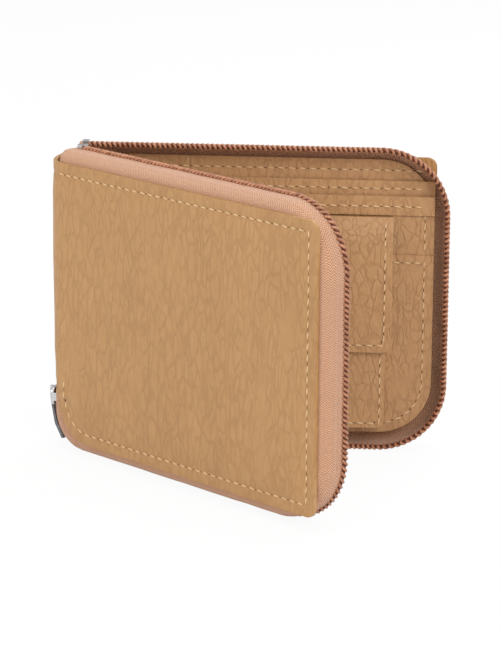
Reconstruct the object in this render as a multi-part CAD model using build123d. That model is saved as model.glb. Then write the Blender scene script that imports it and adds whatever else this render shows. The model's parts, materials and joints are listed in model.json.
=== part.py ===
from build123d import *
import os
from math import acos, cos, degrees, radians, sin

# All sizes are in millimetres. A leaf is drawn in its own frame: X runs from the
# crease to the free end, Y runs from the outer leather to the inside, Z is up.

# Leaves and spine
LEAF_LENGTH = 112.0
LEAF_HEIGHT = 88.0
SPINE_WIDTH = 19.0
SPINE_BULGE = 2.5
LEATHER = 1.2
BOARD = 1.0
LINING = 0.4
CORNER = 3.0
NOTCH_CORNER = 14.0
NOTCH_HEIGHT = 19.0
CREASE_CLEARANCE = 0.3
INNER_START = 2.6

# How far the wallet stands open
SPINE_ANGLE = 13.6
FRONT_ANGLE = 26.9

# Zip
COIL_OFFSET = 3.6
COIL_GAP = 0.4
COIL_OUT = 2.0
COIL_WIDE = 2.6
COIL_ROUND = 0.7
TAPE = 0.6
TAPE_MARGIN = 5.0
TAPE_TURN = 2.9
ZIP_CORNER = 17.0
ZIP_NOTCH_CORNER = 8.0
STOP_LENGTH = 2.0
STOP_WALL = 0.2

# Zip end in the spine notch, and the slider on it
END_OFFSET = 2.1
END_TAPE_BOTTOM = 9.0
END_TAPE_TUCK = 5.0
END_TAPE_START = 3.575
END_EASE = 1.0
END_STOP_HEIGHT = 1.6
SLIDER_BOTTOM = 13.0
SLIDER_LENGTH = 5.6
SLIDER_WIDTH = 9.8
PLATE = 1.1
PLATE_INNER = 0.8
FLANGE = 0.7
RUNNING = 0.3
POST_WIDTH = 1.6
POST_HEIGHT = 1.3
BRIDGE_WIDTH = 1.2
BRIDGE_BAR = 0.7
BRIDGE_HOLE = 1.2
BRIDGE_FOOT = 1.0
BRIDGE_HEAD = 0.5
PULL_BAR = 0.6
PULL_WIDTH = 4.2
PULL_THICKNESS = 0.9
PULL_END = 1.6

# Inside of the leaves: heights are above the lower edge of the leather
SEAM_INSET = 0.3
BOARD_INSET = 0.5
BOARD_CORNER = 1.0
PANEL = 0.6
LAYER_GAP = 0.4
FACING_BOTTOM = 70.0
NOTE_EDGE = 81.2
SLOT_EDGE = 76.6
BAND_BOTTOM = 70.5
LOW_SLOT_EDGE = 58.0
CARD_PANEL = 0.5
CARD_STEP = 12.0
CARD_SLOTS = 3

# Coin pocket, its flap and its snap
COIN_START = 49.5
COIN_END = 97.2
COIN_BOTTOM = 3.0
COIN_MOUTH = 60.0
COIN_WALL = 0.8
COIN_ROOM = 3.9
FLAP_OVER = 1.9
FLAP_THICKNESS = 0.8
FLAP_BOTTOM = 28.0
FLAP_BEND = 62.0
SNAP_RADIUS = 4.0
SNAP_POST = 1.2
SNAP_HEIGHT = 33.0

# Worked out from the sizes above
BOTTOM = COIL_OFFSET + COIL_OUT / 2
TOP = BOTTOM + LEAF_HEIGHT
COVER_IN = LEATHER / 2
COIL_DEPTH = (SPINE_WIDTH - COIL_GAP - COIL_WIDE) / 2
COIL_LOW = COIL_DEPTH - COIL_WIDE / 2
LINING_IN = COVER_IN + BOARD + LINING
FACING_IN = LINING_IN + PANEL
DIVIDER_OUT = FACING_IN + LAYER_GAP
DIVIDER_IN = DIVIDER_OUT + PANEL
SLOT_OUT = DIVIDER_IN + LAYER_GAP
SLOT_IN = SLOT_OUT + PANEL
LOW_IN = SLOT_IN + PANEL
COIN_IN = LOW_IN + COIN_ROOM
COIN_FRONT_IN = COIN_IN + COIN_WALL
FLAP_OUT = COIN_FRONT_IN + 3 * RUNNING
FLAP_IN = FLAP_OUT + FLAP_THICKNESS
NOTCH_TOP = BOTTOM + NOTCH_HEIGHT
SLIDER_TOP = SLIDER_BOTTOM + SLIDER_LENGTH
END_COIL_BOTTOM = SLIDER_BOTTOM + POST_HEIGHT + RUNNING
END_COIL_TOP = SLIDER_TOP + END_EASE
END_COIL_OUT = -END_OFFSET - COIL_OUT / 2
END_COIL_IN = -END_OFFSET + COIL_OUT / 2


def extrude_inward(face, depth_from, depth_to):
    """Stand a length-by-height outline up and give it its thickness."""
    block = extrude(face, amount=-(depth_to - depth_from))
    return Pos(0, depth_from, 0) * Rot(90, 0, 0) * block


def outline(u0, u1, z0, z1, low_start=0, low_end=0, high_end=0, high_start=0):
    """A rectangle, length by height, with its own radius at each corner."""
    face = Pos((u0 + u1) / 2, (z0 + z1) / 2) * Rectangle(u1 - u0, z1 - z0)
    corners = [(u0, z0, low_start), (u1, z0, low_end), (u1, z1, high_end), (u0, z1, high_start)]
    for u, z, radius in corners:
        if radius > 0:
            vertex = face.vertices().sort_by_distance((u, z, 0))[0]
            face = fillet(vertex, radius)
    return face


def box(u0, u1, w0, w1, z0, z1):
    """A block between two lengths, two depths and two heights."""
    return Pos((u0 + u1) / 2, (w0 + w1) / 2, (z0 + z1) / 2) * Box(u1 - u0, w1 - w0, z1 - z0)


def disc(u, z, radius, w0, w1):
    """A round piece whose axis runs from the outside to the inside."""
    return Pos(u, (w0 + w1) / 2, z) * Rot(90, 0, 0) * Cylinder(radius, w1 - w0)


def cover():
    face = outline(COVER_IN + CREASE_CLEARANCE, LEAF_LENGTH, BOTTOM, TOP,
                   NOTCH_CORNER, CORNER, CORNER, 0)
    return extrude_inward(face, -COVER_IN, COVER_IN)


def board():
    inset = TAPE_MARGIN + BOARD_INSET
    radius = ZIP_CORNER - inset
    face = outline(inset, LEAF_LENGTH - inset, BOTTOM + inset, TOP - inset,
                   radius, radius, radius, BOARD_CORNER)
    return extrude_inward(face, COVER_IN, COVER_IN + BOARD)


def inner_panel(edge, depth_from, depth_to, start=INNER_START):
    """A panel caught in the seam on its lower edge and its free end."""
    radius = ZIP_CORNER - SEAM_INSET
    face = outline(start, LEAF_LENGTH - SEAM_INSET, BOTTOM + SEAM_INSET, BOTTOM + edge,
                   radius, radius, 0, 0)
    return extrude_inward(face, depth_from, depth_to)


def lining():
    radius = ZIP_CORNER - SEAM_INSET
    start = COVER_IN + 4 * CREASE_CLEARANCE
    face = outline(start, LEAF_LENGTH - SEAM_INSET, BOTTOM + SEAM_INSET, TOP - SEAM_INSET,
                   radius, radius, radius, 0)
    return extrude_inward(face, LINING_IN - LINING, LINING_IN)


def facing():
    radius = ZIP_CORNER - SEAM_INSET
    face = outline(INNER_START, LEAF_LENGTH - SEAM_INSET, BOTTOM + FACING_BOTTOM, TOP - SEAM_INSET,
                   0, 0, radius, 0)
    return extrude_inward(face, LINING_IN, FACING_IN)


def tape_section():
    """Tape across its width: seam margin, turn, and the strip up to the coil."""
    turn = COVER_IN + TAPE / 2 + TAPE_TURN
    level = COIL_OFFSET - TAPE / 2
    start = level - TAPE_TURN
    outer = TAPE_TURN + TAPE / 2
    inner = TAPE_TURN - TAPE / 2
    edges = [
        Line((turn - outer, -TAPE_MARGIN), (turn - outer, start)),
        RadiusArc((turn - outer, start), (turn, start + outer), outer),
        Line((turn, start + outer), (COIL_LOW, start + outer)),
        Line((COIL_LOW, start + outer), (COIL_LOW, start + inner)),
        Line((COIL_LOW, start + inner), (turn, start + inner)),
        RadiusArc((turn, start + inner), (turn - inner, start), -inner),
        Line((turn - inner, start), (turn - inner, -TAPE_MARGIN)),
        Line((turn - inner, -TAPE_MARGIN), (turn - outer, -TAPE_MARGIN)),
    ]
    return make_face(edges)


def coil_section():
    return Pos(COIL_DEPTH, COIL_OFFSET) * RectangleRounded(COIL_WIDE, COIL_OUT, COIL_ROUND)


def follow_edge(section, start):
    """Carry a section round three edges of a leaf and into the spine notch."""
    radius = ZIP_CORNER
    notch = ZIP_NOTCH_CORNER
    far = LEAF_LENGTH - radius
    reach = notch + COIL_OFFSET + COIL_OUT / 2
    turn = 90 - degrees(acos((notch - CREASE_CLEARANCE) / reach))
    run = Line((start, 0, TOP), (far, 0, TOP))
    sides = [run]
    plane = Plane(origin=(far, 0, TOP - radius), x_dir=(1, 0, 0), z_dir=(0, -1, 0))
    sides.append(plane.location * CenterArc((0, 0), radius, 90, -90))
    sides.append(Line((LEAF_LENGTH, 0, TOP - radius), (LEAF_LENGTH, 0, BOTTOM + radius)))
    plane = Plane(origin=(far, 0, BOTTOM + radius), x_dir=(1, 0, 0), z_dir=(0, -1, 0))
    sides.append(plane.location * CenterArc((0, 0), radius, 0, -90))
    sides.append(Line((far, 0, BOTTOM), (notch, 0, BOTTOM)))
    plane = Plane(origin=(notch, 0, BOTTOM + notch), x_dir=(1, 0, 0), z_dir=(0, -1, 0))
    sides.append(plane.location * CenterArc((0, 0), notch, -90, -turn))
    path = Wire([edge for side in sides for edge in side.edges()])
    face = Plane(origin=(start, 0, TOP), x_dir=(0, 1, 0), z_dir=(1, 0, 0)).location * section
    return sweep(face, path=path)


def zip_tape():
    return follow_edge(tape_section(), INNER_START)


def zip_coil():
    return follow_edge(coil_section(), INNER_START + STOP_LENGTH)


def zip_stop():
    half = COIL_WIDE / 2 + STOP_WALL / 2
    rise = COIL_OUT / 2 + STOP_WALL
    end = INNER_START + STOP_LENGTH
    block = box(INNER_START, end, COIL_DEPTH - half, COIL_DEPTH + half,
                TOP + COIL_OFFSET - rise, TOP + COIL_OFFSET + rise)
    room = box(INNER_START, end, COIL_DEPTH - half, COIL_LOW,
               TOP + COIL_OFFSET - TAPE, TOP + COIL_OFFSET)
    return block - room


def leaf():
    """What both leaves have, in the leaf's own frame."""
    return {
        "cover": cover(),
        "board": board(),
        "lining": lining(),
        "note_facing": facing(),
        "note_divider": inner_panel(NOTE_EDGE, DIVIDER_OUT, DIVIDER_IN),
        "zip_tape": zip_tape(),
        "zip_coil": zip_coil(),
        "zip_stop": zip_stop(),
    }


def card_slots():
    """Stepped card slot panels, the lowest one nearest to the cards."""
    slots = {}
    for index in range(CARD_SLOTS):
        low = SLOT_OUT + index * (CARD_PANEL + CREASE_CLEARANCE / 3)
        slots[f"card_slot_{index + 1}"] = inner_panel(SLOT_EDGE - index * CARD_STEP, low, low + CARD_PANEL)
    return slots


def back_slots():
    band = outline(INNER_START, LEAF_LENGTH - SEAM_INSET, BOTTOM + BAND_BOTTOM, BOTTOM + SLOT_EDGE)
    return {
        "slot_tall": inner_panel(SLOT_EDGE, SLOT_OUT, SLOT_IN),
        "slot_band": extrude_inward(band, SLOT_IN, SLOT_IN + PANEL),
        "slot_low": inner_panel(LOW_SLOT_EDGE, SLOT_IN, LOW_IN),
    }


def coin_pocket():
    middle = (COIN_START + COIN_END) / 2
    low = BOTTOM + COIN_BOTTOM
    high = BOTTOM + COIN_MOUTH
    snap = BOTTOM + SNAP_HEIGHT
    outside = outline(COIN_START, COIN_END, low, high, CORNER, CORNER)
    hollow = outline(COIN_START + COIN_WALL, COIN_END - COIN_WALL, low + COIN_WALL, high + COIN_WALL,
                     CORNER - COIN_WALL, CORNER - COIN_WALL)
    base = disc(middle, snap, SNAP_RADIUS, COIN_FRONT_IN, COIN_FRONT_IN + RUNNING)
    post = disc(middle, snap, SNAP_POST, COIN_FRONT_IN, FLAP_OUT - RUNNING / 2)
    return {
        "coin_gusset": extrude_inward(outside - hollow, LOW_IN, COIN_IN),
        "coin_front": extrude_inward(outside, COIN_IN, COIN_FRONT_IN),
        "snap_stud": base + post,
        "snap_rivet": disc(middle, snap, SNAP_RADIUS - 1, COIN_IN - RUNNING, COIN_IN),
    }


def flap_pivot():
    """Depth and height of the flap's fold line."""
    return SLOT_IN + PANEL + RUNNING, BOTTOM + BAND_BOTTOM - RUNNING


def coin_flap():
    middle = (COIN_START + COIN_END) / 2
    depth, height = flap_pivot()
    bend = BOTTOM + FLAP_BEND
    snap = BOTTOM + SNAP_HEIGHT
    points = [(depth - RUNNING / 2, height), (depth + FLAP_THICKNESS, height), (FLAP_IN, bend),
              (FLAP_IN, BOTTOM + FLAP_BOTTOM), (FLAP_OUT, BOTTOM + FLAP_BOTTOM),
              (FLAP_OUT, bend - RUNNING), (depth - RUNNING / 2, height - 2 * FLAP_THICKNESS)]
    side = make_face(Polyline(points, close=True))
    length = COIN_END - COIN_START + FLAP_OVER
    flap = Plane(origin=(COIN_START, 0, 0), x_dir=(0, 1, 0), z_dir=(1, 0, 0)).location * side
    flap = extrude(flap, amount=length, dir=(1, 0, 0))
    corners = flap.edges().filter_by(Axis.Y).group_by(Axis.Z)[0]
    flap = fillet(corners, CORNER)
    ring = disc(middle, snap, SNAP_RADIUS, FLAP_OUT - RUNNING, FLAP_OUT)
    ring = ring - disc(middle, snap, SNAP_POST + RUNNING, FLAP_OUT - RUNNING, FLAP_OUT)
    return {
        "coin_flap": flap,
        "snap_socket": ring,
        "snap_cap": disc(middle, snap, SNAP_RADIUS, FLAP_IN, FLAP_IN + LAYER_GAP),
    }


def spine_cover():
    """Bulged strip with a round bead along each crease, above the notch."""
    height = TOP - NOTCH_TOP
    middle = SPINE_WIDTH / 2
    radius = (middle**2 + SPINE_BULGE**2) / (2 * SPINE_BULGE)
    centre = (middle, radius - SPINE_BULGE)
    ring = Pos(*centre) * (Circle(radius + COVER_IN) - Circle(radius - COVER_IN))
    window = Pos(middle, -radius) * Rectangle(SPINE_WIDTH, 2 * radius)
    strip = ring & window
    for crease in (0, SPINE_WIDTH):
        strip = strip + Pos(crease, 0) * Circle(COVER_IN)
    return Pos(0, 0, NOTCH_TOP) * extrude(strip, amount=height)


def spine_lining():
    inset = COVER_IN + 2 * CREASE_CLEARANCE
    return box(inset, SPINE_WIDTH - inset, COVER_IN, COVER_IN + LINING, NOTCH_TOP + TAPE, TOP - SEAM_INSET)


def end_coil(centre):
    section = Pos(centre, -END_OFFSET) * RectangleRounded(COIL_WIDE, COIL_OUT, COIL_ROUND)
    return Pos(0, 0, END_COIL_BOTTOM) * extrude(section, amount=END_COIL_TOP - END_COIL_BOTTOM)


def end_tape(edge, width):
    """Tape end: hangs in the notch beside the coil and tucks in under the leather."""
    level = -(END_OFFSET - TAPE / 2)
    half = TAPE / 2
    tucked = half / 2
    under = NOTCH_TOP - END_EASE
    above = NOTCH_TOP + END_TAPE_TUCK
    points = [(level - half, END_TAPE_BOTTOM), (level + half, END_TAPE_BOTTOM),
              (level + half, END_COIL_TOP), (tucked + half, under), (tucked + half, above),
              (tucked - half, above), (tucked - half, under), (level - half, END_COIL_TOP)]
    side = make_face(Polyline(points, close=True))
    strip = Plane(origin=(edge, 0, 0), x_dir=(0, 1, 0), z_dir=(1, 0, 0)).location * side
    return extrude(strip, amount=width, dir=(1, 0, 0))


def spine_end():
    """The two halves of the zip where it ends in the notch."""
    width = COIL_LOW - END_TAPE_START
    stop = box(COIL_LOW + STOP_WALL, SPINE_WIDTH - COIL_LOW - STOP_WALL, END_COIL_OUT - STOP_WALL,
               END_COIL_IN + STOP_WALL, END_COIL_TOP, END_COIL_TOP + END_STOP_HEIGHT)
    return {
        "end_tape_back": end_tape(END_TAPE_START, width),
        "end_tape_front": end_tape(SPINE_WIDTH - COIL_LOW, width),
        "end_coil_back": end_coil(COIL_DEPTH),
        "end_coil_front": end_coil(SPINE_WIDTH - COIL_DEPTH),
        "zip_bottom_stop": stop,
    }


def slider_faces():
    """Depths of the slider's four plate faces, from outside to inside."""
    outer = END_COIL_OUT - RUNNING
    inner = END_COIL_IN + RUNNING
    return outer - PLATE, outer, inner, inner + PLATE_INNER


def slider():
    far, outer, inner, near = slider_faces()
    middle = SPINE_WIDTH / 2
    half = SLIDER_WIDTH / 2
    low = SLIDER_BOTTOM
    high = SLIDER_TOP
    tape_out = -END_OFFSET - RUNNING
    tape_in = -END_OFFSET + TAPE + RUNNING
    rounding = CORNER / 2
    plate = outline(middle - half, middle + half, low, high, rounding, rounding, rounding, rounding)
    body = extrude_inward(plate, far, outer) + extrude_inward(plate, inner, near)
    for side in (middle - half, middle + half - FLANGE):
        rim = (low + rounding, high - rounding)
        body = body + box(side, side + FLANGE, outer, tape_out, *rim)
        body = body + box(side, side + FLANGE, tape_in, inner, *rim)
    post = box(middle - POST_WIDTH / 2, middle + POST_WIDTH / 2, outer, inner, low, low + POST_HEIGHT)
    bridge_half = BRIDGE_WIDTH / 2
    reach = BRIDGE_HOLE + BRIDGE_BAR
    foot = low + BRIDGE_FOOT
    head = high - BRIDGE_HEAD
    arch = box(middle - bridge_half, middle + bridge_half, far - reach, far, foot, head)
    hole = box(middle - bridge_half, middle + bridge_half, far - BRIDGE_HOLE, far,
               foot + BRIDGE_BAR, head - BRIDGE_BAR)
    return {"slider_body": body + post, "slider_bridge": arch - hole}


def pull_pivot():
    """Depth and height of the bar that hangs in the bridge."""
    far = slider_faces()[0]
    high = SLIDER_TOP - BRIDGE_HEAD - BRIDGE_BAR
    return far - BRIDGE_HOLE / 2, high - RUNNING - PULL_BAR / 2


def pull_tab():
    """Bar through the bridge, two arms beside it and a curved tab below."""
    middle = SPINE_WIDTH / 2
    depth, height = pull_pivot()
    half = PULL_BAR / 2
    arm = BRIDGE_WIDTH / 2 + RUNNING
    reach = PULL_WIDTH / 2
    waist = SLIDER_BOTTOM - RUNNING
    pull = Pos(middle, depth, height) * Rot(0, 90, 0) * Cylinder(half, 2 * (arm + PULL_BAR))
    for start in (middle - arm - PULL_BAR, middle + arm):
        end = start + PULL_BAR
        pull = pull + box(start, end, depth - half, depth + half, waist - PULL_BAR, height)
    thick = PULL_THICKNESS
    knee = END_COIL_OUT - RUNNING
    points = [(depth - half, waist), (depth + half, waist), (knee, waist / 2),
              (thick - END_OFFSET, PULL_END), (-END_OFFSET, PULL_END), (knee - thick, waist / 2)]
    side = make_face(Polyline(points, close=True))
    tab = Plane(origin=(middle - reach, 0, 0), x_dir=(0, 1, 0), z_dir=(1, 0, 0)).location * side
    return pull + extrude(tab, amount=PULL_WIDTH, dir=(1, 0, 0))


def spine_place():
    return Rot(0, 0, -(90 + SPINE_ANGLE))


def front_place():
    lean = radians(SPINE_ANGLE)
    crease = Pos(-SPINE_WIDTH * sin(lean), -SPINE_WIDTH * cos(lean), 0)
    return crease * Rot(0, 0, -(SPINE_ANGLE + FRONT_ANGLE))


def assemble():
    nodes = {}
    back = leaf()
    inside = {**back_slots(), **coin_pocket(), **coin_flap()}
    for name, solid in back.items():
        nodes[f"{name}_back"] = mirror(solid, about=Plane.XZ)
    for name, solid in inside.items():
        nodes[name] = mirror(solid, about=Plane.XZ)
    for name, solid in back.items():
        nodes[f"{name}_front"] = front_place() * solid
    for name, solid in card_slots().items():
        nodes[name] = front_place() * solid
    spine = {"cover_spine": spine_cover(), "lining_spine": spine_lining(), **spine_end(),
             **slider(), "pull_tab": pull_tab()}
    for name, solid in spine.items():
        nodes[name] = spine_place() * solid
    return nodes


def to_standing_centre(nodes):
    """Move the origin to the middle of the surface that the wallet stands on."""
    boxes = [solid.bounding_box() for solid in nodes.values()]
    x = (min(b.min.X for b in boxes) + max(b.max.X for b in boxes)) / 2
    y = (min(b.min.Y for b in boxes) + max(b.max.Y for b in boxes)) / 2
    z = min(b.min.Z for b in boxes)
    print("back crease at", round(-x, 4), round(-y, 4), "floor", round(z, 4))
    return Pos(-x, -y, -z)


def main():
    os.makedirs("parts", exist_ok=True)
    nodes = assemble()
    shift = to_standing_centre(nodes)
    for name, solid in nodes.items():
        export_step(shift * solid, f"parts/{name}.step")


main()
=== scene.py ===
import json
from math import cos, exp, hypot, pi, radians, sin

import bmesh
import bpy
from mathutils import Matrix, Vector, noise


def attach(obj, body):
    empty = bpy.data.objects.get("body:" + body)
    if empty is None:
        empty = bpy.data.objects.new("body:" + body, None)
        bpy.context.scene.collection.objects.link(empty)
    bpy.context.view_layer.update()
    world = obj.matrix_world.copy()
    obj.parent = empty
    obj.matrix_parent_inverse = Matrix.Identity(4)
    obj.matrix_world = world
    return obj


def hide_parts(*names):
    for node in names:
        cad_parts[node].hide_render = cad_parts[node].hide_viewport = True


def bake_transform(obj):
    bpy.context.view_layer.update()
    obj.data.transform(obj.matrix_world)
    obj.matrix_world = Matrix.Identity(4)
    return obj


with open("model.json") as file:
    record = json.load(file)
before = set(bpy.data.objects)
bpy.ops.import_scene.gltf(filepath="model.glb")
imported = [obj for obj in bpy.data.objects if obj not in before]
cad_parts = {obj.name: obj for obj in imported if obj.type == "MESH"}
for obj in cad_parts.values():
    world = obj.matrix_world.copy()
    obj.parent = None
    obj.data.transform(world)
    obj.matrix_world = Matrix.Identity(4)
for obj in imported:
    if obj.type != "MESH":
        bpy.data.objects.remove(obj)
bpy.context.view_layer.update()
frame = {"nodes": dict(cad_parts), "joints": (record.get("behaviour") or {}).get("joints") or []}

MM = 0.001

# ---------------------------------------------------------------- the frame
# A leaf's own frame: X from its crease to its free end, Y from the outer
# leather to the inside, Z up. The spine's frame starts at the back crease.

JOINTS = {joint["name"]: joint for joint in frame["joints"]}
BACK_CREASE = Vector(JOINTS["back_crease"]["pos_m"][:2] + [0])
FRONT_CREASE = Vector(JOINTS["front_crease"]["pos_m"][:2] + [0])
SPINE_LEAN = -radians(JOINTS["back_crease"]["range_deg"][0])
FRONT_LEAN = -radians(JOINTS["front_crease"]["range_deg"][0])
SPINE_WIDTH = (FRONT_CREASE - BACK_CREASE).length

BACK = Matrix.Translation(BACK_CREASE) @ Matrix.Diagonal((1, -1, 1, 1))
SPINE = Matrix.Translation(BACK_CREASE) @ Matrix.Rotation(-(pi / 2 + SPINE_LEAN), 4, "Z")
FRONT = Matrix.Translation(FRONT_CREASE) @ Matrix.Rotation(-(SPINE_LEAN + FRONT_LEAN), 4, "Z")


def extent(node, place):
    """Lowest and highest corner of a node, measured in a leaf's own frame."""
    back = place.inverted()
    points = [back @ vertex.co for vertex in frame["nodes"][node].data.vertices]
    low = Vector(min(point[i] for point in points) for i in range(3))
    high = Vector(max(point[i] for point in points) for i in range(3))
    return low, high


COVER_LOW, COVER_HIGH = extent("cover_back", BACK)
LENGTH = COVER_HIGH.x
BOTTOM = COVER_LOW.z
TOP = COVER_HIGH.z
LEATHER = COVER_HIGH.y - COVER_LOW.y
NOTCH = extent("cover_spine", SPINE)[0].z
BULGE = -extent("cover_spine", SPINE)[0].y - LEATHER / 2
COIL_LOW, COIL_HIGH = extent("zip_coil_back", BACK)
COIL_OUT = 2.0 * MM
COIL_WIDE = COIL_HIGH.y - COIL_LOW.y
COIL_DEPTH = (COIL_HIGH.y + COIL_LOW.y) / 2
COIL_OFFSET = COIL_HIGH.x - LENGTH - COIL_OUT / 2
END_LOW, END_HIGH = extent("end_coil_back", SPINE)
END_OFFSET = -(END_LOW.y + END_HIGH.y) / 2
ZIP_CORNER = 17.0 * MM
ZIP_NOTCH_CORNER = 8.0 * MM
NOTCH_CORNER = 14.0 * MM
CORNER = 3.0 * MM
SEAM = 3.4 * MM
STITCH = 3.3 * MM
STITCH_SIZE = (1.05 * MM, 0.26 * MM, 0.24 * MM)
# Size of the dark blob that paints the shade in each needle hole.
PIT_SHADE_SIZE = (0.60 * MM, 0.25 * MM, 0.24 * MM)
FOLD_REACH = 2.2 * MM
LINING_BULGE = 1.2 * MM
TAPE = 0.5 * MM
TAPE_STEP = 1.6 * MM
TAPE_SEAM = 4.0 * MM
TAPE_TURN = 2.9 * MM
TAPE_TUCK = 1.3 * MM
YARN = 0.72 * MM
HERRINGBONE = 0.8 * MM
COIL_PITCH = 1.55 * MM
WIRE = 0.44 * MM
CORD = 0.62 * MM


# ---------------------------------------------------------------- shaping
def smooth(edge0, edge1, value):
    t = min(max((value - edge0) / (edge1 - edge0), 0), 1)
    return t * t * (3 - 2 * t)


def to_object(name, bm):
    mesh = bpy.data.meshes.new(name)
    bm.to_mesh(mesh)
    bm.free()
    for polygon in mesh.polygons:
        polygon.use_smooth = True
    piece = bpy.data.objects.new(name, mesh)
    bpy.context.scene.collection.objects.link(piece)
    return piece


def settle(piece):
    """Turn the piece's modifiers into its mesh."""
    graph = bpy.context.evaluated_depsgraph_get()
    mesh = bpy.data.meshes.new_from_object(piece.evaluated_get(graph))
    piece.modifiers.clear()
    if piece.type == "MESH":
        piece.data = mesh
        return piece
    solid = bpy.data.objects.new(piece.name + "_mesh", mesh)
    name = piece.name
    bpy.data.objects.remove(piece)
    solid.name = name
    bpy.context.scene.collection.objects.link(solid)
    for polygon in mesh.polygons:
        polygon.use_smooth = True
    return solid


def thicken(piece, thickness, bevel, segments=3):
    """Give a sheet its thickness and round its edges."""
    shell = piece.modifiers.new("thickness", "SOLIDIFY")
    shell.thickness = thickness
    shell.offset = 0
    edge = piece.modifiers.new("edge", "BEVEL")
    edge.width = bevel
    edge.segments = segments
    edge.limit_method = "ANGLE"
    edge.angle_limit = radians(50)
    return settle(piece)


def arc(centre, radius, start, sweep, steps):
    return [(centre[0] + radius * cos(start + sweep * i / steps),
             centre[1] + radius * sin(start + sweep * i / steps)) for i in range(steps + 1)]


def fill_outline(points, cuts_x, cuts_y):
    """A flat face with that outline, cut into a grid that can bend."""
    bm = bmesh.new()
    bm.faces.new([bm.verts.new((x, y, 0)) for x, y in points])
    for axis, cuts in (((1, 0, 0), cuts_x), ((0, 1, 0), cuts_y)):
        for cut in cuts:
            origin = Vector(axis) * cut
            geometry = bm.verts[:] + bm.edges[:] + bm.faces[:]
            bmesh.ops.bisect_plane(bm, geom=geometry, dist=1e-7, plane_co=origin, plane_no=axis)
    return bm


def span(start, end, step):
    count = max(int(round((end - start) / step)), 1)
    return [start + (end - start) * i / count for i in range(1, count)]


def outward(bm):
    bmesh.ops.remove_doubles(bm, verts=bm.verts[:], dist=1e-7)
    bmesh.ops.recalc_face_normals(bm, faces=bm.faces[:])


# ---------------------------------------------------------------- leather skins
def plan(s, lean, depth, bulge):
    """Where a skin lies, seen from above, at a distance s from its crease."""
    total = Vector((0, 0))
    samples = 9
    for i in range(samples):
        t = s + FOLD_REACH * (2 * i / (samples - 1) - 1)
        if t >= 0:
            total += Vector((t, depth))
        else:
            d = -t
            half = SPINE_WIDTH / 2
            out = bulge * (1 - ((half - d) / half) ** 2) - depth
            total += Vector((-sin(lean), cos(lean))) * d + Vector((-cos(lean), -sin(lean))) * out
    return total / samples


def on_skin(s, z, lean, depth=0.0, bulge=BULGE, rise=0.0):
    """A point on a skin, raised off it towards the outside, and the outward direction."""
    here = plan(s, lean, depth, bulge)
    ahead = plan(s + 0.1 * MM, lean, depth, bulge)
    along = (ahead - here).normalized()
    out = Vector((along.y, -along.x, 0))
    return Vector((here.x, here.y, z)) + out * rise, out


def edge_distance(s, z):
    """How far inside the leather's edge a point of the cover is."""
    distance = min(TOP - z, z - BOTTOM, LENGTH - s)
    if s < NOTCH_CORNER and z < BOTTOM + NOTCH_CORNER:
        round_edge = NOTCH_CORNER - hypot(s - NOTCH_CORNER - 0.5 * MM, z - BOTTOM - NOTCH_CORNER)
        distance = min(distance, round_edge)
    if s < 0:
        distance = min(TOP - z, z - NOTCH)
    return distance


def cover_relief(s, z):
    """Seam valley, soft middle and shallow crinkles that fade out towards the edge."""
    d = edge_distance(s, z)
    valley = -0.24 * MM * exp(-((d - SEAM) / (0.55 * MM)) ** 2)
    middle = 0.35 * MM * smooth(SEAM, SEAM + 7 * MM, d)
    wave = noise.noise(Vector((s * 45, z * 28, 3.1))) * 0.30 * MM
    fold = noise.noise(Vector((s * 260, z * 70, 8.4))) * 0.10 * MM
    return valley + middle + (wave + fold) * smooth(0, SEAM, d)


def blend_over_crease(piece):
    """Bake the skin's placement into its mesh."""
    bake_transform(piece)


def cover_outline():
    half = SPINE_WIDTH / 2
    inner = 1.6 * MM
    points = [(-half, NOTCH), (-inner - 0.9 * MM, NOTCH)]
    points += arc((-inner - 0.9 * MM, NOTCH - inner), inner, pi / 2, -pi / 2, 5)[1:]
    points += [(0, NOTCH - 2 * inner)]
    points += arc((NOTCH_CORNER + 0.5 * MM, BOTTOM + NOTCH_CORNER), NOTCH_CORNER, pi, pi / 2, 14)
    points += arc((LENGTH - CORNER, BOTTOM + CORNER), CORNER, -pi / 2, pi / 2, 6)
    points += arc((LENGTH - CORNER, TOP - CORNER), CORNER, 0, pi / 2, 6)
    points += [(-half, TOP)]
    return points


def build_cover(name, place, lean, nodes):
    """One leaf's outer leather with its half of the spine, in one skin."""
    fine = [0.5 * MM, 1.3 * MM, 2.5 * MM, 3.0 * MM, 3.4 * MM, 3.8 * MM, 4.4 * MM, 6 * MM]
    half = SPINE_WIDTH / 2
    cuts_s = span(-half, 16 * MM, 0.9 * MM) + span(16 * MM, LENGTH - 6 * MM, 1.7 * MM)
    cuts_s += [LENGTH - x for x in fine]
    cuts_z = [BOTTOM + x for x in fine] + [TOP - x for x in fine]
    cuts_z += span(BOTTOM + 6 * MM, BOTTOM + 21 * MM, 1.2 * MM)
    cuts_z += span(BOTTOM + 21 * MM, TOP - 6 * MM, 2.4 * MM)
    bm = fill_outline(cover_outline(), cuts_s, cuts_z)
    for vertex in bm.verts:
        s, z = vertex.co.x, vertex.co.y
        point, _ = on_skin(s, z, lean, rise=cover_relief(s, z))
        vertex.co = place @ point
    outward(bm)
    piece = thicken(to_object(name, bm), LEATHER, 0.42 * MM)
    blend_over_crease(piece)
    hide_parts(*nodes)
    return piece


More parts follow.
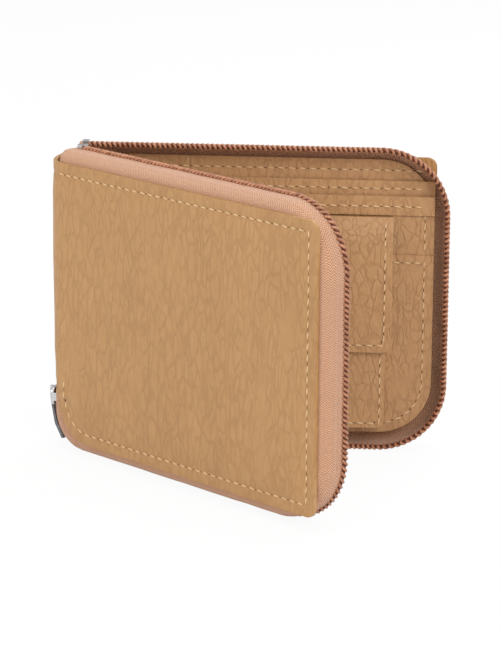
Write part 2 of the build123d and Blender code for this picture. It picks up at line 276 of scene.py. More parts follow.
def build_lining(name, place, lean, nodes):
    """Inner cloth of a leaf and its half of the spine."""
    low, high = extent("lining_back", BACK)
    half = SPINE_WIDTH / 2
    radius = ZIP_CORNER
    points = [(-half, NOTCH + 1 * MM), (0.2 * MM, NOTCH + 1 * MM), (1.0 * MM, low.z + radius)]
    points += arc((low.x + radius, low.z + radius), radius, pi, pi / 2, 10)
    points += arc((high.x - radius, low.z + radius), radius, -pi / 2, pi / 2, 10)
    points += arc((high.x - radius, high.z - radius), radius, 0, pi / 2, 10)
    points += [(-half, high.z)]
    bm = fill_outline(points, span(-half, 8 * MM, 1 * MM) + span(8 * MM, LENGTH, 8 * MM),
                      span(BOTTOM, TOP, 6 * MM))
    area = sum(face.calc_area() for face in bm.faces)
    for vertex in bm.verts:
        point, _ = on_skin(vertex.co.x, vertex.co.y, lean, (low.y + high.y) / 2, LINING_BULGE)
        vertex.co = place @ point
    outward(bm)
    piece = thicken(to_object(name, bm), high.y - low.y, 0.1 * MM, 1)
    blend_over_crease(piece)
    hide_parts(*nodes)
    return piece


# ---------------------------------------------------------------- refined nodes
def refined(node, bevel, body, segments=2):
    """A node's own shape with its edges rounded."""
    bm = bmesh.new()
    bm.from_mesh(frame["nodes"][node].data)
    bmesh.ops.remove_doubles(bm, verts=bm.verts[:], dist=1e-6)
    bmesh.ops.dissolve_limit(bm, angle_limit=radians(1), verts=bm.verts[:], edges=bm.edges[:])
    sharp = [edge for edge in bm.edges if edge.is_manifold and edge.calc_face_angle() > radians(35)]
    bmesh.ops.bevel(bm, geom=sharp, offset=bevel, offset_type="OFFSET", affect="EDGES",
                    segments=segments, profile=0.5, material=-1, clamp_overlap=True)
    bmesh.ops.recalc_face_normals(bm, faces=bm.faces[:])
    piece = to_object(node + "_piece", bm)
    weight = piece.modifiers.new("flat faces", "WEIGHTED_NORMAL")
    weight.keep_sharp = False
    settle(piece)
    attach(piece, body)
    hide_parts(node)
    return piece


# ---------------------------------------------------------------- stitches
def place_stitches(name, spots, body, material, hole_shade_look):
    """Thread laid over the leather: each spot is a point, a run direction and an up direction. Between
    close stitches a dark blob paints the shade in the needle hole.
    """
    bm = bmesh.new()
    dark = bmesh.new()
    for index, (point, run, up) in enumerate(spots):
        side = run.cross(up).normalized()
        turn = Matrix((run, side, up)).transposed().to_4x4()
        slant = Matrix.Rotation(radians(6) * noise.noise(point * 900) + radians(9), 4, "Z")
        stretch = 1 + 0.12 * noise.noise(point * 700)
        size = Matrix.Diagonal((STITCH_SIZE[0] * stretch, STITCH_SIZE[1], STITCH_SIZE[2], 1))
        spot = Matrix.Translation(point + up * 0.10 * MM) @ turn @ slant @ size
        bmesh.ops.create_uvsphere(bm, u_segments=9, v_segments=6, radius=1, matrix=spot)
        if index:
            middle = (point + spots[index - 1][0]) / 2
            if (point - spots[index - 1][0]).length < 1.6 * STITCH:
                # Painted shade: a small dark blob sunk between two stitches stands for the shade down in
                # the needle hole.
                size = Matrix.Diagonal((*PIT_SHADE_SIZE, 1))
                pit_shade = Matrix.Translation(middle - up * 0.16 * MM) @ turn @ size
                bmesh.ops.create_uvsphere(dark, u_segments=8, v_segments=5, radius=1, matrix=pit_shade)
    # The second piece holds the painted-shade blobs of the needle holes.
    piece = to_object(name, bm)
    hole_shade_blobs = to_object(name + "_holes", dark)
    for item, look in ((piece, material), (hole_shade_blobs, hole_shade_look)):
        item.data.materials.append(look)
        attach(item, body)
    return piece


def along(points):
    """Points a stitch apart, with their directions, along a flat polyline."""
    out = []
    carry = STITCH / 2
    for (x0, y0), (x1, y1) in zip(points, points[1:]):
        length = hypot(x1 - x0, y1 - y0)
        direction = ((x1 - x0) / length, (y1 - y0) / length)
        while carry < length:
            out.append((x0 + direction[0] * carry, y0 + direction[1] * carry, direction))
            carry += STITCH
        carry -= length
    return out


def leaf_stitches(route, place, depth, side):
    """Stitches on a flat layer of a leaf: side is -1 on its outside and 1 on its inside."""
    spots = []
    for u, z, (du, dz) in along(route):
        point = place @ Vector((u, depth, z))
        run = (place.to_3x3() @ Vector((du, 0, dz))).normalized()
        up = (place.to_3x3() @ Vector((0, side, 0))).normalized()
        spots.append((point, run, up))
    return spots


def cover_stitches(place, lean):
    """The seam round a cover's three free edges, down in its valley."""
    inset = SEAM
    route = [(1.5 * MM, TOP - inset)]
    route += arc((LENGTH - inset - 1 * MM, TOP - inset - 1 * MM), 1 * MM, pi / 2, -pi / 2, 3)
    route += arc((LENGTH - inset - 1 * MM, BOTTOM + inset + 1 * MM), 1 * MM, 0, -pi / 2, 3)
    centre = (NOTCH_CORNER + 0.5 * MM, BOTTOM + NOTCH_CORNER)
    route += arc(centre, NOTCH_CORNER - inset, -pi / 2, -pi / 2, 10)
    route += [(inset + 0.6 * MM, NOTCH)]
    spots = []
    for s, z, (ds, dz) in along(route):
        rise = LEATHER / 2 + cover_relief(s, z)
        here, out = on_skin(s, z, lean, rise=rise)
        ahead, _ = on_skin(s + ds * 0.5 * MM, z + dz * 0.5 * MM, lean, rise=rise)
        run = (place.to_3x3() @ (ahead - here)).normalized()
        up = (place.to_3x3() @ out).normalized()
        spots.append((place @ here, run, up))
    return spots


# ---------------------------------------------------------------- zip
def edge_route(t):
    """Round a leaf's edge from its top: edge point, outward direction, turn about the crease."""
    radius = ZIP_CORNER
    straight = LENGTH - radius
    down = TOP - BOTTOM - 2 * radius
    quarter = radius * pi / 2
    back = straight - ZIP_NOTCH_CORNER
    if t < straight:
        return (t, TOP), (0, 1), 0
    t -= straight
    if t < quarter:
        a = pi / 2 - t / radius
        return (straight + radius * cos(a), TOP - radius + radius * sin(a)), (cos(a), sin(a)), 0
    t -= quarter
    if t < down:
        return (LENGTH, TOP - radius - t), (1, 0), 0
    t -= down
    if t < quarter:
        a = -t / radius
        return (straight + radius * cos(a), BOTTOM + radius + radius * sin(a)), (cos(a), sin(a)), 0
    t -= quarter
    if t < back:
        return (straight - t, BOTTOM), (0, -1), 0
    t -= back
    radius = ZIP_NOTCH_CORNER
    quarter = radius * pi / 2
    if t < quarter:
        a = -pi / 2 - t / radius
        turn = smooth(0, 1.15, t / quarter)
        return (radius + radius * cos(a), BOTTOM + radius + radius * sin(a)), (cos(a), sin(a)), turn
    t -= quarter
    return (0, BOTTOM + radius + t), (-1, 0), smooth(0, 1.15, 1 + t / quarter)


ROUTE_TO_NOTCH = 2 * LENGTH - 4 * ZIP_CORNER - ZIP_NOTCH_CORNER + TOP - BOTTOM + ZIP_CORNER * pi
ROUTE_TO_CREASE = ROUTE_TO_NOTCH + ZIP_NOTCH_CORNER * pi / 2


def zip_point(t, out, across, lean):
    """A point of the zip in a leaf's frame, out from the edge and across from the leather."""
    (u, z), (du, dz), turn = edge_route(t)
    sink = (COIL_OFFSET - END_OFFSET) * turn
    tuck = TAPE_TUCK * smooth(NOTCH - 4 * MM, NOTCH, z) * turn
    out -= sink + tuck
    angle = lean * turn
    reach = out * abs(du) if du < 0 else 0
    flat = u + du * out if du >= 0 else u
    x = flat - reach * cos(angle) - across * sin(angle)
    y = across * cos(angle) - reach * sin(angle)
    return Vector((x, y, z + dz * out))


def tape_profile(b):
    """Across the tape: its margin under the leather, its turn, and the strip up to the coil."""
    start = COIL_OFFSET - 0.3 * MM - TAPE_TURN
    depth = LEATHER / 2 + 0.3 * MM
    strip = COIL_DEPTH + 0.2 * MM - depth - TAPE_TURN
    quarter = TAPE_TURN * pi / 2
    s = b * (TAPE_SEAM + quarter + strip)
    if s < TAPE_SEAM:
        return start - TAPE_SEAM + s, depth
    s -= TAPE_SEAM
    if s < quarter:
        a = s / TAPE_TURN
        return start + TAPE_TURN * sin(a), depth + TAPE_TURN - TAPE_TURN * cos(a)
    s -= quarter
    return start + TAPE_TURN, depth + TAPE_TURN + s


def build_tape(name, start, end, place, lean):
    """Woven strip between the leather and the coil."""
    bm = bmesh.new()
    columns = int((end - start) / TAPE_STEP)
    bmesh.ops.create_grid(bm, x_segments=columns, y_segments=14, size=1)
    cloth = bm.verts.layers.float_vector.new("cloth")
    for vertex in bm.verts:
        a, b = (vertex.co.x + 1) / 2, (vertex.co.y + 1) / 2
        t = start + (end - start) * a
        out, across = tape_profile(b)
        ripple = 0.10 * MM * noise.noise(Vector((t * 160, b * 2, lean)))
        vertex[cloth] = (t, b * 12 * MM, 0)
        vertex.co = place @ zip_point(t, out + ripple * smooth(0.35, 0.6, b), across, lean)
    outward(bm)
    piece = thicken(to_object(name, bm), TAPE, 0.12 * MM, 1)
    return piece


def round_wire(name, points, radius, rounding):
    """A round strand along a list of points."""
    curve = bpy.data.curves.new(name, "CURVE")
    curve.dimensions = "3D"
    curve.bevel_depth = radius
    curve.bevel_resolution = rounding
    curve.use_fill_caps = True
    spline = curve.splines.new("POLY")
    spline.points.add(len(points) - 1)
    for target, point in zip(spline.points, points):
        target.co = (*point, 1)
    piece = bpy.data.objects.new(name, curve)
    bpy.context.scene.collection.objects.link(piece)
    piece = settle(piece)
    return piece


def build_coil(name, start, end, place, lean, curl):
    """Wound nylon filament: one turn for each tooth."""
    steps = 12
    count = int((end - start) / COIL_PITCH * steps)
    points = []
    for i in range(count):
        t = start + (end - start) * i / (count - 1)
        a = 2 * pi * i / steps
        drop = 0.0
        if curl:
            drop = 2.4 * MM * (1 - smooth(start, start + 4.5 * MM, t)) ** 1.5
        out = COIL_OFFSET + (COIL_OUT / 2 - WIRE) * cos(a) - drop
        across = COIL_DEPTH + (COIL_WIDE / 2 - WIRE) * sin(a)
        lag = 0.35 * MM * sin(a)
        points.append(place @ zip_point(t + lag, out, across, lean))
    return round_wire(name, points, WIRE, 1)


def build_cord(name, start, end, place, lean):
    """Filler cord that the filament is wound round; its dark brown is partly the cord's own colour and
    partly painted shade inside the coil.
    """
    steps = int((end - start) / (1.5 * MM))
    points = []
    for i in range(steps + 1):
        t = start + (end - start) * i / steps
        points.append(place @ zip_point(t, COIL_OFFSET, COIL_DEPTH, lean))
    return round_wire(name, points, CORD, 2)


def zip_for(leaf, side, place, lean, materials):
    """A leaf's zip: the run round the leaf, and the end that turns up to the slider."""
    top = extent("zip_tape_back", BACK)[0].x + 0.2 * MM
    tape = build_tape(f"tape_{side}", 1.2 * MM, ROUTE_TO_NOTCH, place, lean)
    coil = build_coil(f"coil_{side}", top, ROUTE_TO_NOTCH, place, lean, True)
    upward = ROUTE_TO_CREASE - BOTTOM - ZIP_NOTCH_CORNER
    tape_end = build_tape(f"tape_end_{side}", ROUTE_TO_NOTCH, upward + NOTCH + 3 * MM, place, lean)
    coil_end = build_coil(f"coil_end_{side}", ROUTE_TO_NOTCH, upward + END_HIGH.z, place, lean, False)
    cord = build_cord(f"cord_{side}", top + 2 * MM, ROUTE_TO_NOTCH, place, lean)
    cord_end = build_cord(f"cord_end_{side}", ROUTE_TO_NOTCH, upward + END_HIGH.z - 0.5 * MM, place, lean)
    for piece in (tape, coil, cord):
        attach(piece, leaf)
    for piece in (tape_end, coil_end, cord_end):
        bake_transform(piece)
    for piece in (tape, tape_end):
        piece.data.materials.append(materials["tape"])
    for piece in (cord, cord_end):
        piece.data.materials.append(materials["cord"])
    for piece in (coil, coil_end):
        piece.data.materials.append(materials["coil"])
    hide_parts(f"zip_tape_{side}")
    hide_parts(f"zip_coil_{side}")
    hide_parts(f"end_tape_{side}")
    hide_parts(f"end_coil_{side}")


# ---------------------------------------------------------------- materials
def link(tree, source, target):
    tree.links.new(source, target)


def new_node(tree, kind, **values):
    made = tree.nodes.new(kind)
    for key, value in values.items():
        if hasattr(made, key):
            setattr(made, key, value)
        else:
            made.inputs[key.replace("_", " ")].default_value = value
    return made


def srgb(text):
    values = [int(text[i:i + 2], 16) / 255 for i in (0, 2, 4)]
    return tuple(v / 12.92 if v <= 0.04045 else ((v + 0.055) / 1.055) ** 2.4 for v in values) + (1,)


def ramp(tree, fac, stops):
    made = tree.nodes.new("ShaderNodeValToRGB")
    while len(made.color_ramp.elements) < len(stops):
        made.color_ramp.elements.new(0.5)
    for element, (position, colour) in zip(made.color_ramp.elements, stops):
        element.position = position
        element.color = colour
    link(tree, fac, made.inputs["Fac"])
    return made.outputs["Color"]


def grain_group():
    """Crinkled leather: a mask of ridges and a height, from a scale and an upward stretch."""
    group = bpy.data.node_groups.new("leather grain", "ShaderNodeTree")
    group.interface.new_socket("Scale", in_out="INPUT", socket_type="NodeSocketFloat").default_value = 600
    group.interface.new_socket("Stretch", in_out="INPUT", socket_type="NodeSocketFloat").default_value = 0.3
    group.interface.new_socket("Ridges", in_out="OUTPUT", socket_type="NodeSocketFloat")
    group.interface.new_socket("Patches", in_out="OUTPUT", socket_type="NodeSocketFloat")
    group.interface.new_socket("Height", in_out="OUTPUT", socket_type="NodeSocketFloat")
    source = group.nodes.new("NodeGroupInput")
    target = group.nodes.new("NodeGroupOutput")
    place = group.nodes.new("ShaderNodeTexCoord")
    stretch = group.nodes.new("ShaderNodeCombineXYZ")
    stretch.inputs["X"].default_value = 1
    stretch.inputs["Y"].default_value = 1
    link(group, source.outputs["Stretch"], stretch.inputs["Z"])
    scaled = new_node(group, "ShaderNodeVectorMath", operation="MULTIPLY")
    link(group, place.outputs["Object"], scaled.inputs[0])
    link(group, stretch.outputs[0], scaled.inputs[1])
    warp = new_node(group, "ShaderNodeTexNoise", Scale=210.0, Detail=3.0)
    link(group, scaled.outputs[0], warp.inputs["Vector"])
    bend = new_node(group, "ShaderNodeVectorMath", operation="SCALE")
    bend.inputs["Scale"].default_value = 0.0048
    link(group, warp.outputs["Color"], bend.inputs[0])
    moved = new_node(group, "ShaderNodeVectorMath", operation="ADD")
    link(group, scaled.outputs[0], moved.inputs[0])
    link(group, bend.outputs[0], moved.inputs[1])
    cells = new_node(group, "ShaderNodeTexVoronoi", feature="DISTANCE_TO_EDGE")
    link(group, moved.outputs[0], cells.inputs["Vector"])
    link(group, source.outputs["Scale"], cells.inputs["Scale"])
    finer = new_node(group, "ShaderNodeMath", operation="MULTIPLY")
    finer.inputs[1].default_value = 2.3
    link(group, source.outputs["Scale"], finer.inputs[0])
    streaks = new_node(group, "ShaderNodeTexNoise", Detail=4.0, Roughness=0.55)
    link(group, moved.outputs[0], streaks.inputs["Vector"])
    link(group, finer.outputs[0], streaks.inputs["Scale"])
    patches = new_node(group, "ShaderNodeTexNoise", Scale=55.0, Detail=3.0)
    link(group, scaled.outputs[0], patches.inputs["Vector"])
    pores = new_node(group, "ShaderNodeTexNoise", Scale=2600.0, Detail=2.0)
    link(group, place.outputs["Object"], pores.inputs["Vector"])
    valley = new_node(group, "ShaderNodeMapRange", From_Max=0.15)
    link(group, cells.outputs["Distance"], valley.inputs["Value"])
    calm = new_node(group, "ShaderNodeTexNoise", Scale=170.0, Detail=2.0)
    link(group, scaled.outputs[0], calm.inputs["Vector"])
    plain = new_node(group, "ShaderNodeMapRange", From_Min=0.46, From_Max=0.74)
    link(group, calm.outputs["Fac"], plain.inputs["Value"])
    crease = new_node(group, "ShaderNodeMath", operation="MAXIMUM")
    link(group, valley.outputs[0], crease.inputs[0])
    link(group, plain.outputs[0], crease.inputs[1])
    ridges = new_node(group, "ShaderNodeMath", operation="MULTIPLY_ADD")
    ridges.inputs[1].default_value = 0.30
    link(group, crease.outputs[0], ridges.inputs[0])
    rough = new_node(group, "ShaderNodeMath", operation="MULTIPLY")
    rough.inputs[1].default_value = 0.55
    link(group, streaks.outputs["Fac"], rough.inputs[0])
    link(group, rough.outputs[0], ridges.inputs[2])
    height = new_node(group, "ShaderNodeMath", operation="MULTIPLY_ADD")
    height.inputs[1].default_value = 0.12
    link(group, pores.outputs["Fac"], height.inputs[0])
    link(group, ridges.outputs[0], height.inputs[2])
    link(group, ridges.outputs[0], target.inputs["Ridges"])
    link(group, patches.outputs["Fac"], target.inputs["Patches"])
    link(group, height.outputs[0], target.inputs["Height"])
    return group


def principled(name):
    material = bpy.data.materials.new(name)
    material.use_nodes = True
    return material, material.node_tree, material.node_tree.nodes["Principled BSDF"]


def bump(tree, height, shader, strength, distance):
    made = tree.nodes.new("ShaderNodeBump")
    made.inputs["Strength"].default_value = strength
    made.inputs["Distance"].default_value = distance
    link(tree, height, made.inputs["Height"])
    link(tree, made.outputs[0], shader.inputs["Normal"])


def leather(name, group, low, middle, high, scale, stretch, strength, rough):
    material, tree, shader = principled(name)
    grain = tree.nodes.new("ShaderNodeGroup")
    grain.node_tree = group
    grain.inputs["Scale"].default_value = scale
    grain.inputs["Stretch"].default_value = stretch
    tones = [(0.22, srgb(low)), (0.48, srgb(middle)), (0.68, srgb(high))]
    colour = ramp(tree, grain.outputs["Ridges"], tones)
    tint = tree.nodes.new("ShaderNodeMix")
    tint.data_type = "RGBA"
    tint.blend_type = "MULTIPLY"
    tint.inputs["Factor"].default_value = 1
    link(tree, colour, tint.inputs[6])
    cloud = ramp(tree, grain.outputs["Patches"], [(0.3, (0.92, 0.91, 0.90, 1)), (0.7, (1, 1, 1, 1))])
    link(tree, cloud, tint.inputs[7])
    link(tree, tint.outputs[2], shader.inputs["Base Color"])
    gloss = new_node(tree, "ShaderNodeMapRange", To_Min=rough + 0.08, To_Max=rough - 0.08)
    link(tree, grain.outputs["Ridges"], gloss.inputs["Value"])
    link(tree, gloss.outputs[0], shader.inputs["Roughness"])
    shader.inputs["Specular IOR Level"].default_value = 0.35
    bump(tree, grain.outputs["Height"], shader, strength, 0.0006)
    return material


def tape_material():
    """Herringbone tape: diagonal yarns that turn back in narrow columns."""
    material, tree, shader = principled("herringbone_tape")
    cloth = tree.nodes.new("ShaderNodeAttribute")
    cloth.attribute_name = "cloth"
    parts = tree.nodes.new("ShaderNodeSeparateXYZ")
    link(tree, cloth.outputs["Vector"], parts.inputs[0])
    column = new_node(tree, "ShaderNodeMath", operation="PINGPONG")
    column.inputs[1].default_value = HERRINGBONE
    link(tree, parts.outputs["Y"], column.inputs[0])
    slope = new_node(tree, "ShaderNodeMath", operation="ADD")
    link(tree, parts.outputs["X"], slope.inputs[0])
    link(tree, column.outputs[0], slope.inputs[1])
    yarn = new_node(tree, "ShaderNodeMath", operation="MULTIPLY")
    yarn.inputs[1].default_value = 2 * pi / YARN
    link(tree, slope.outputs[0], yarn.inputs[0])
    wave = new_node(tree, "ShaderNodeMath", operation="SINE")
    link(tree, yarn.outputs[0], wave.inputs[0])
    level = new_node(tree, "ShaderNodeMapRange", From_Min=-1.0)
    link(tree, wave.outputs[0], level.inputs["Value"])
    place = tree.nodes.new("ShaderNodeTexCoord")
    fuzz = new_node(tree, "ShaderNodeTexNoise", Scale=1500.0, Detail=3.0)
    link(tree, place.outputs["Object"], fuzz.inputs["Vector"])
    mixed = new_node(tree, "ShaderNodeMath", operation="MULTIPLY_ADD")
    mixed.inputs[1].default_value = 0.5
    link(tree, fuzz.outputs["Fac"], mixed.inputs[0])
    link(tree, level.outputs[0], mixed.inputs[2])
    tones = [(0.15, srgb("a5745a")), (0.6, srgb("c59070")), (1.0, srgb("d8aa88"))]
    colour = ramp(tree, mixed.outputs[0], tones)
    link(tree, colour, shader.inputs["Base Color"])
    shader.inputs["Roughness"].default_value = 0.85
    shader.inputs["Sheen Weight"].default_value = 0.25
    shader.inputs["Specular IOR Level"].default_value = 0.2
    bump(tree, mixed.outputs[0], shader, 0.8, 0.00026)
    return material


def speckled(name, low, high, scale, rough, strength, distance, sheen=0.0):
    """A finish with fine uneven colour: lining, thread, nylon, board."""
    material, tree, shader = principled(name)
    place = tree.nodes.new("ShaderNodeTexCoord")
    fine = new_node(tree, "ShaderNodeTexNoise", Scale=scale, Detail=4.0, Roughness=0.6)
    link(tree, place.outputs["Object"], fine.inputs["Vector"])
    colour = ramp(tree, fine.outputs["Fac"], [(0.35, srgb(low)), (0.65, srgb(high))])
    link(tree, colour, shader.inputs["Base Color"])
    shader.inputs["Roughness"].default_value = rough
    shader.inputs["Sheen Weight"].default_value = sheen
    bump(tree, fine.outputs["Fac"], shader, strength, distance)
    return material


def metal(name, low, high, rough):
    """Plated metal with fine scuffs and slightly uneven polish."""
    material, tree, shader = principled(name)
    place = tree.nodes.new("ShaderNodeTexCoord")
    scuffs = new_node(tree, "ShaderNodeTexNoise", Scale=900.0, Detail=6.0, Roughness=0.7)
    link(tree, place.outputs["Object"], scuffs.inputs["Vector"])
    colour = ramp(tree, scuffs.outputs["Fac"], [(0.3, srgb(low)), (0.7, srgb(high))])
    link(tree, colour, shader.inputs["Base Color"])
    shader.inputs["Metallic"].default_value = 1
    gloss = new_node(tree, "ShaderNodeMapRange", To_Min=rough - 0.06, To_Max=rough + 0.14)
    link(tree, scuffs.outputs["Fac"], gloss.inputs["Value"])
    link(tree, gloss.outputs[0], shader.inputs["Roughness"])
    bump(tree, scuffs.outputs["Fac"], shader, 0.15, 0.00005)
    return material


def make_materials():
    grain = grain_group()
    return {
        "outer": leather("crinkled_leather", grain, "aa7f50", "b38756", "b98e5d",
                         430.0, 0.34, 0.60, 0.42),
        "inner": leather("inside_leather", grain, "ab8058", "b88d61", "bf9468",
                         400.0, 0.48, 0.65, 0.46),
        "lining": speckled("lining_cloth", "7c5a40", "94704f", 1800.0, 0.9, 0.4, 0.0001, 0.2),
        "tape": tape_material(),
        "coil": speckled("nylon_coil", "8f5a3c", "bd8362", 420.0, 0.36, 0.1, 0.0001),
        # Partly painted shade: the cord's dark brown also stands for the shade inside the coil.
        "cord": speckled("filler_cord_and_core_shade", "4a2416", "6b3826", 1500.0, 0.85, 0.3, 0.0001),
        "thread": speckled("cream_thread", "cdaa7c", "e2c197", 2400.0, 0.6, 0.3, 0.00008, 0.1),
        # Painted shade: dark brown for the blobs that stand for the shade down in the needle holes.
        "pit_shade": speckled("needle_hole_painted_shade", "4a3020", "5e402b", 1200.0, 0.9, 0.1, 0.0001),
        "board": speckled("stiffener_board", "8e7050", "a78663", 700.0, 0.9, 0.2, 0.0001),
        "nickel": metal("bright_nickel", "b9b9bc", "dcdcde", 0.22),
        # Painted reflection: the pull's nickel is given a dark base colour that stands for the dark
        # surroundings it reflects.
        "dark": metal("dark_nickel", "5a5a5d", "87878a", 0.18),
    }


# ---------------------------------------------------------------- inside
def dress(piece, material):
    piece.data.materials.clear()
    piece.data.materials.append(material)


def inside_seam(node, place):
    """Route of the seam along a panel's free end and lower edge."""
    low, high = extent(node, place)
    inset = 3.0 * MM
    radius = ZIP_CORNER - inset
    route = [(high.x - inset, high.z - 1.2 * MM)]
    route += arc((high.x - ZIP_CORNER, low.z + ZIP_CORNER), radius, 0, -pi / 2, 8)
    route += arc((low.x + ZIP_CORNER, low.z + ZIP_CORNER), radius, -pi / 2, -pi / 2.4, 6)
    return route, high.y


def edge_row(node, place, drop, inset=3.4 * MM):
    low, high = extent(node, place)
    return [(low.x + inset, high.z - drop), (high.x - inset, high.z - drop)], high.y


def build_inside(materials):
    back_panels = ["note_facing_back", "note_divider_back", "slot_tall", "slot_band", "slot_low",
                   "coin_gusset", "coin_front"]
    front_panels = ["note_facing_front", "note_divider_front", "card_slot_1", "card_slot_2", "card_slot_3"]
    for names, body in ((back_panels, "back_leaf"), (front_panels, "front_leaf"),
                        (["coin_flap"], "coin_flap")):
        for name in names:
            dress(refined(name, 0.22 * MM, body, 3), materials["inner"])
    spots = []
    for node, drop in (("note_facing_back", 3.4 * MM), ("note_divider_back", 2.5 * MM),
                       ("slot_band", 3.2 * MM), ("slot_low", 2.4 * MM)):
        route, depth = edge_row(node, BACK, drop)
        spots += leaf_stitches(route, BACK, depth, 1)
    route, depth = inside_seam("slot_low", BACK)
    spots += leaf_stitches(route, BACK, depth, 1)
    route, depth = inside_seam("slot_tall", BACK)
    low_top = extent("slot_low", BACK)[1].z
    spots += leaf_stitches([route[0], (route[0][0], low_top + 1 * MM)], BACK, depth, 1)
    low, high = extent("coin_front", BACK)
    inset = 1.6 * MM
    route = [(low.x + inset, high.z), (low.x + inset, low.z + inset), (high.x - inset, low.z + inset),
             (high.x - inset, high.z)]
    spots += leaf_stitches(route, BACK, high.y, 1)
    place_stitches("stitches_back_inside", spots, "back_leaf", materials["thread"], materials["pit_shade"])
    low, high = extent("coin_flap", BACK)
    inset = 2.4 * MM
    straight = low.z + 33 * MM
    route = [(low.x + inset, straight), (low.x + inset, low.z + inset), (high.x - inset, low.z + inset),
             (high.x - inset, straight)]
    spots = leaf_stitches(route, BACK, high.y, 1)
    bend = low.z + 34 * MM
    slope = Vector((0, low.y + 0.95 * MM - high.y, high.z - bend))
    turn = BACK.to_3x3()
    for u in (low.x + inset, high.x - inset):
        for share in (0.12, 0.42, 0.72):
            point = BACK @ (Vector((u, high.y, bend)) + slope * share)
            up = turn @ Vector((0, slope.z, -slope.y))
            spots.append((point, (turn @ slope).normalized(), up.normalized()))
    place_stitches("stitches_flap", spots, "coin_flap", materials["thread"], materials["pit_shade"])
    spots = []
    for node in ("note_divider_front", "card_slot_1", "card_slot_2", "card_slot_3"):
        route, depth = edge_row(node, FRONT, 2.4 * MM)
        spots += leaf_stitches(route, FRONT, depth, 1)
    route, depth = edge_row("note_facing_front", FRONT, 3.4 * MM)
    spots += leaf_stitches(route, FRONT, depth, 1)
    route, depth = inside_seam("card_slot_3", FRONT)
    spots += leaf_stitches(route, FRONT, depth, 1)
    place_stitches("stitches_front_inside", spots, "front_leaf", materials["thread"], materials["pit_shade"])


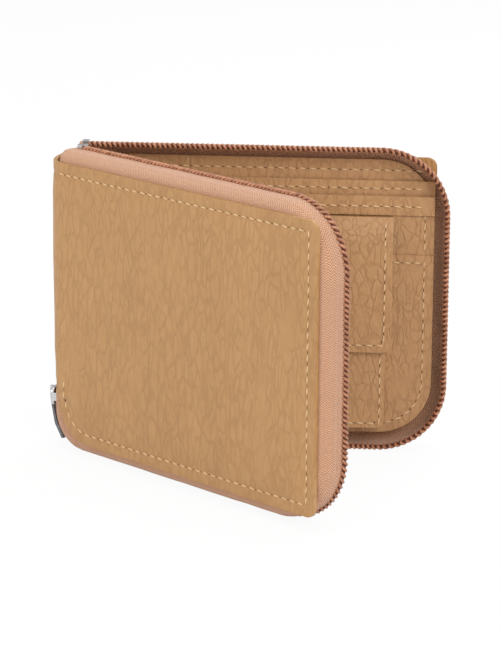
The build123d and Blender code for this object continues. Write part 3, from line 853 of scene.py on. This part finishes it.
# ---------------------------------------------------------------- studio
def build_studio():
    scene = bpy.context.scene
    scene.view_settings.view_transform = "Standard"
    bm = bmesh.new()
    bmesh.ops.create_grid(bm, x_segments=2, y_segments=2, size=3)
    floor = to_object("floor", bm)
    material, tree, shader = principled("studio_floor")
    shader.inputs["Base Color"].default_value = (0.86, 0.86, 0.86, 1)
    shader.inputs["Roughness"].default_value = 0.9
    glow = tree.nodes.new("ShaderNodeEmission")
    glow.inputs["Color"].default_value = (1, 1, 1, 1)
    mix = tree.nodes.new("ShaderNodeMixShader")
    rays = tree.nodes.new("ShaderNodeLightPath")
    seen = new_node(tree, "ShaderNodeMath", operation="MAXIMUM")
    link(tree, rays.outputs["Is Camera Ray"], seen.inputs[0])
    link(tree, rays.outputs["Is Glossy Ray"], seen.inputs[1])
    share = new_node(tree, "ShaderNodeMath", operation="MULTIPLY")
    share.inputs[1].default_value = 0.93
    through = new_node(tree, "ShaderNodeMath", operation="MAXIMUM")
    link(tree, seen.outputs[0], through.inputs[0])
    link(tree, rays.outputs["Is Transmission Ray"], through.inputs[1])
    link(tree, through.outputs[0], share.inputs[0])
    link(tree, share.outputs[0], mix.inputs[0])
    link(tree, shader.outputs[0], mix.inputs[1])
    link(tree, glow.outputs[0], mix.inputs[2])
    link(tree, mix.outputs[0], tree.nodes["Material Output"].inputs["Surface"])
    floor.data.materials.append(material)

    world = bpy.data.worlds.new("studio")
    scene.world = world
    world.use_nodes = True
    tree = world.node_tree
    sky = tree.nodes["Background"]
    sky.inputs["Color"].default_value = (1, 1, 1, 1)
    rays = tree.nodes.new("ShaderNodeLightPath")
    strength = new_node(tree, "ShaderNodeMapRange", To_Min=0.50, To_Max=1.0)
    link(tree, rays.outputs["Is Camera Ray"], strength.inputs["Value"])
    link(tree, strength.outputs[0], sky.inputs["Strength"])

    lamps = (("key", (0.55, -0.75, 0.75), 0.7, 7.2), ("fill", (-0.75, -0.55, 0.45), 0.8, 3.6),
             ("top", (0.0, 0.1, 0.95), 0.8, 3.6), ("rim", (0.4, 0.7, 0.6), 0.6, 3.0))
    for name, spot, size, power in lamps:
        data = bpy.data.lights.new(name, "AREA")
        data.size = size
        data.energy = power
        lamp = bpy.data.objects.new(name, data)
        lamp.location = spot
        aim = Vector((0, 0, 0.05)) - Vector(spot)
        lamp.rotation_euler = aim.to_track_quat("-Z", "Y").to_euler()
        scene.collection.objects.link(lamp)

    # The view is given from the back crease, where the leaf and the spine meet.
    pitch, roll, yaw = radians(15.238), radians(0.36), radians(-4.589)
    forward = Vector((sin(yaw) * cos(pitch), cos(yaw) * cos(pitch), -sin(pitch)))
    level = Vector((cos(yaw), -sin(yaw), 0))
    above = level.cross(forward)
    right = level * cos(roll) + above * sin(roll)
    up = above * cos(roll) - level * sin(roll)
    data = bpy.data.cameras.new("camera")
    data.sensor_width = 36
    data.lens = 160.9
    camera = bpy.data.objects.new("camera", data)
    turn = Matrix((right, up, -forward)).transposed().to_4x4()
    stand = BACK_CREASE + Vector((0.12653, -0.90192, 0.28161))
    camera.matrix_world = Matrix.Translation(stand) @ turn
    scene.collection.objects.link(camera)
    scene.camera = camera


# ---------------------------------------------------------------- the wallet
def main():
    materials = make_materials()
    build_studio()
    leaves = (("back", "back_leaf", BACK, SPINE_LEAN), ("front", "front_leaf", FRONT, FRONT_LEAN))
    for side, body, place, lean in leaves:
        nodes = [f"cover_{side}"] + (["cover_spine"] if side == "back" else [])
        dress(build_cover(f"leather_{side}", place, lean, nodes), materials["outer"])
        nodes = [f"lining_{side}"] + (["lining_spine"] if side == "back" else [])
        dress(build_lining(f"cloth_{side}", place, lean, nodes), materials["lining"])
        zip_for(body, side, place, lean, materials)
        seam = cover_stitches(place, lean)
        place_stitches(f"stitches_{side}", seam, body, materials["thread"], materials["pit_shade"])
        dress(frame["nodes"][f"board_{side}"], materials["board"])
        dress(refined(f"zip_stop_{side}", 0.2 * MM, body), materials["nickel"])
    build_inside(materials)
    for node, body in (("zip_bottom_stop", "spine"), ("slider_body", "slider"),
                       ("slider_bridge", "slider"), ("snap_stud", "back_leaf"),
                       ("snap_rivet", "back_leaf"), ("snap_socket", "coin_flap"),
                       ("snap_cap", "coin_flap")):
        dress(refined(node, 0.14 * MM, body, 3), materials["nickel"])
    # Painted reflection: the pull tab's darker nickel stands for what its faces reflect.
    dress(refined("pull_tab", 0.16 * MM, "pull", 3), materials["dark"])


main()
